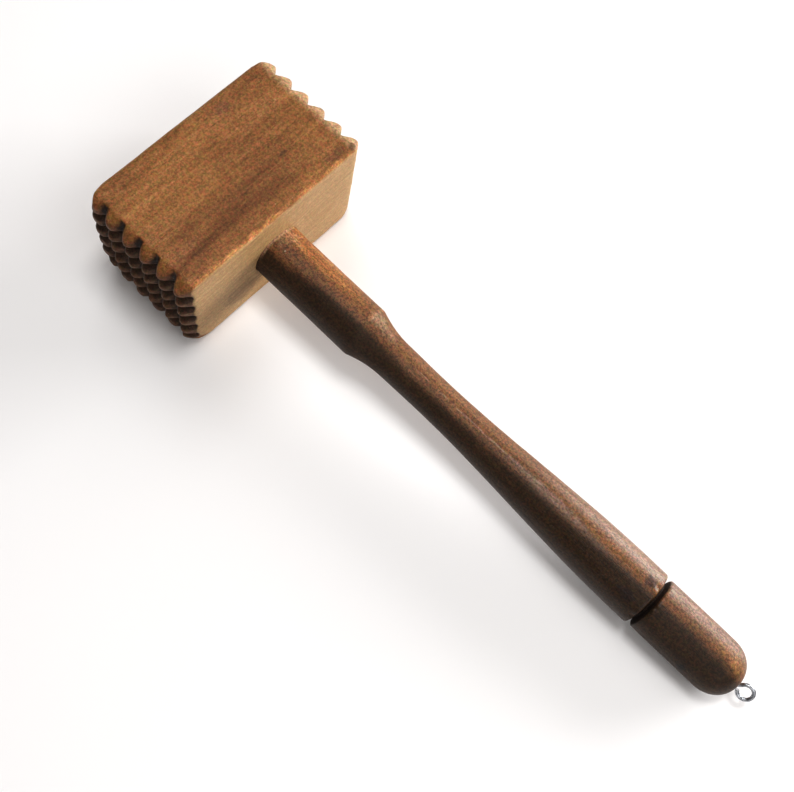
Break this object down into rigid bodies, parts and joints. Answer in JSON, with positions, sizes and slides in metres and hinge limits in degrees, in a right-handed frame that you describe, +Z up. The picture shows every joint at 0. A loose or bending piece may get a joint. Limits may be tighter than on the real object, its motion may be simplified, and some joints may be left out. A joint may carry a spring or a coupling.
{
  "type": "meat mallet",
  "caption": "Wooden meat mallet: block head with pyramid teeth on both ends, turned handle with grooved knob, and a small screw eye to hang it by.",
  "frame": {"origin": "centre of the footprint of the mallet as it lies on a level surface, at the height of that surface", "axes": "+X from the head towards the knob, along the handle but level; +Y along the head from one toothed face to the other; +Z up. The mallet itself is tilted 3.93 degrees about Y, because it rests on the head's lower edge at the handle side and on the underside of the knob."},
  "size_m": [0.3336, 0.1052, 0.0636],
  "materials": {
    "head_wood": "aged and worn, dull",
    "handle_wood": "aged, polished by handling",
    "zinc_plated_steel": "bright zinc plating, a little dulled"
  },
  "bodies": {
    "root": {"head_block": "head_wood", "handle": "handle_wood", "screw_eye": "zinc_plated_steel"}
  },
  "joints": []
}
